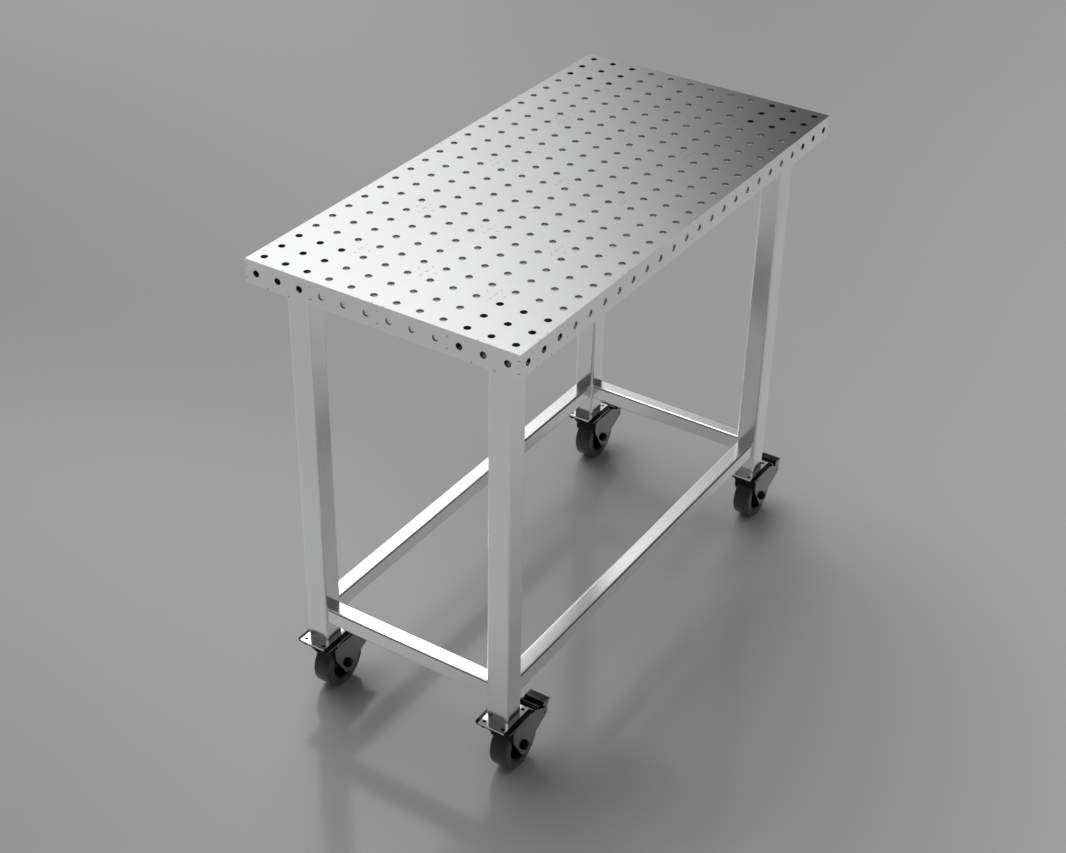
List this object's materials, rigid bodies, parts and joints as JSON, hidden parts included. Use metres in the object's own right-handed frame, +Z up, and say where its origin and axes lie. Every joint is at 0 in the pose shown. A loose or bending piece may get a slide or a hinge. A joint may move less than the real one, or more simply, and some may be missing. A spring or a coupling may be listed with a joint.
{
  "type": "welding fixture table",
  "caption": "Welding fixture table: perforated tab-and-slot steel top on a square-tube frame with braked swivel casters.",
  "frame": {"origin": "centre of the work surface, the face that fixtures are measured from; the floor is 1.0668 m below it", "axes": "+Z up out of the work surface, +X along the table's long side, -Y towards its front"},
  "size_m": [1.2814, 0.6096, 1.0668],
  "materials": {
    "ground_steel": "satin",
    "sheet_steel": "satin",
    "tube_steel": "satin",
    "foot_steel": "bright",
    "zinc": "zinc plated",
    "ball_steel": "polished",
    "caster_black": "gloss",
    "pedal_black": "gloss",
    "hub_black": "gloss",
    "tyre": "matte"
  },
  "bodies": {
    "table": {"top_plate": "ground_steel", "skirt_left": "sheet_steel", "skirt_right": "sheet_steel", "skirt_front": "sheet_steel", "skirt_back": "sheet_steel", "cross_rib_1": "sheet_steel", "cross_rib_2": "sheet_steel", "cross_rib_3": "sheet_steel", "cross_rib_4": "sheet_steel", "cross_rib_5": "sheet_steel", "long_rib_1": "sheet_steel", "long_rib_2": "sheet_steel", "long_rib_3": "sheet_steel", "corner_plate_front_left": "sheet_steel", "corner_plate_front_right": "sheet_steel", "corner_plate_back_left": "sheet_steel", "corner_plate_back_right": "sheet_steel", "leg_front_left": "tube_steel", "leg_front_right": "tube_steel", "leg_back_left": "tube_steel", "leg_back_right": "tube_steel", "rail_front": "tube_steel", "rail_back": "tube_steel", "rail_left": "tube_steel", "rail_right": "tube_steel", "foot_plate_front_left": "foot_steel", "foot_plate_front_right": "foot_steel", "foot_plate_back_left": "foot_steel", "foot_plate_back_right": "foot_steel", "caster_bolts": "zinc", "caster_plate_front_left": "caster_black", "caster_plate_front_right": "caster_black", "caster_plate_back_left": "caster_black", "caster_plate_back_right": "caster_black", "kingpins": "zinc", "swivel_balls": "ball_steel"},
    "caster_front_left": {"fork_front_left": "caster_black", "fork_pins_front_left": "zinc", "sleeve_front_left": "zinc"},
    "wheel_front_left": {"hub_front_left": "hub_black", "tyre_front_left": "tyre"},
    "brake_front_left": {"pedal_front_left": "pedal_black"},
    "caster_front_right": {"fork_front_right": "caster_black", "fork_pins_front_right": "zinc", "sleeve_front_right": "zinc"},
    "wheel_front_right": {"hub_front_right": "hub_black", "tyre_front_right": "tyre"},
    "brake_front_right": {"pedal_front_right": "pedal_black"},
    "caster_back_left": {"fork_back_left": "caster_black", "fork_pins_back_left": "zinc", "sleeve_back_left": "zinc"},
    "wheel_back_left": {"hub_back_left": "hub_black", "tyre_back_left": "tyre"},
    "brake_back_left": {"pedal_back_left": "pedal_black"},
    "caster_back_right": {"fork_back_right": "caster_black", "fork_pins_back_right": "zinc", "sleeve_back_right": "zinc"},
    "wheel_back_right": {"hub_back_right": "hub_black", "tyre_back_right": "tyre"},
    "brake_back_right": {"pedal_back_right": "pedal_black"}
  },
  "joints": [
    {"name": "swivel_front_left", "type": "hinge", "parent": "table", "child": "caster_front_left", "pos_m": [-0.5334, -0.2286, -0.9288], "axis": [0, 0, 1], "continuous": true},
    {"name": "wheel_spin_front_left", "type": "hinge", "parent": "caster_front_left", "child": "wheel_front_left", "pos_m": [-0.4972, -0.2286, -1.00805], "axis": [0, 1, 0], "continuous": true},
    {"name": "brake_press_front_left", "type": "hinge", "parent": "caster_front_left", "child": "brake_front_left", "pos_m": [-0.42159, -0.2286, -0.9756], "axis": [0, 1, 0], "range_deg": [0, 15]},
    {"name": "swivel_front_right", "type": "hinge", "parent": "table", "child": "caster_front_right", "pos_m": [0.5334, -0.2286, -0.9288], "axis": [0, 0, 1], "continuous": true},
    {"name": "wheel_spin_front_right", "type": "hinge", "parent": "caster_front_right", "child": "wheel_front_right", "pos_m": [0.5696, -0.2286, -1.00805], "axis": [0, 1, 0], "continuous": true},
    {"name": "brake_press_front_right", "type": "hinge", "parent": "caster_front_right", "child": "brake_front_right", "pos_m": [0.64521, -0.2286, -0.9756], "axis": [0, 1, 0], "range_deg": [0, 15]},
    {"name": "swivel_back_left", "type": "hinge", "parent": "table", "child": "caster_back_left", "pos_m": [-0.5334, 0.2286, -0.9288], "axis": [0, 0, 1], "continuous": true},
    {"name": "wheel_spin_back_left", "type": "hinge", "parent": "caster_back_left", "child": "wheel_back_left", "pos_m": [-0.4972, 0.2286, -1.00805], "axis": [0, 1, 0], "continuous": true},
    {"name": "brake_press_back_left", "type": "hinge", "parent": "caster_back_left", "child": "brake_back_left", "pos_m": [-0.42159, 0.2286, -0.9756], "axis": [0, 1, 0], "range_deg": [0, 15]},
    {"name": "swivel_back_right", "type": "hinge", "parent": "table", "child": "caster_back_right", "pos_m": [0.5334, 0.2286, -0.9288], "axis": [0, 0, 1], "continuous": true},
    {"name": "wheel_spin_back_right", "type": "hinge", "parent": "caster_back_right", "child": "wheel_back_right", "pos_m": [0.5696, 0.2286, -1.00805], "axis": [0, 1, 0], "continuous": true},
    {"name": "brake_press_back_right", "type": "hinge", "parent": "caster_back_right", "child": "brake_back_right", "pos_m": [0.64521, 0.2286, -0.9756], "axis": [0, 1, 0], "range_deg": [0, 15]}
  ]
}
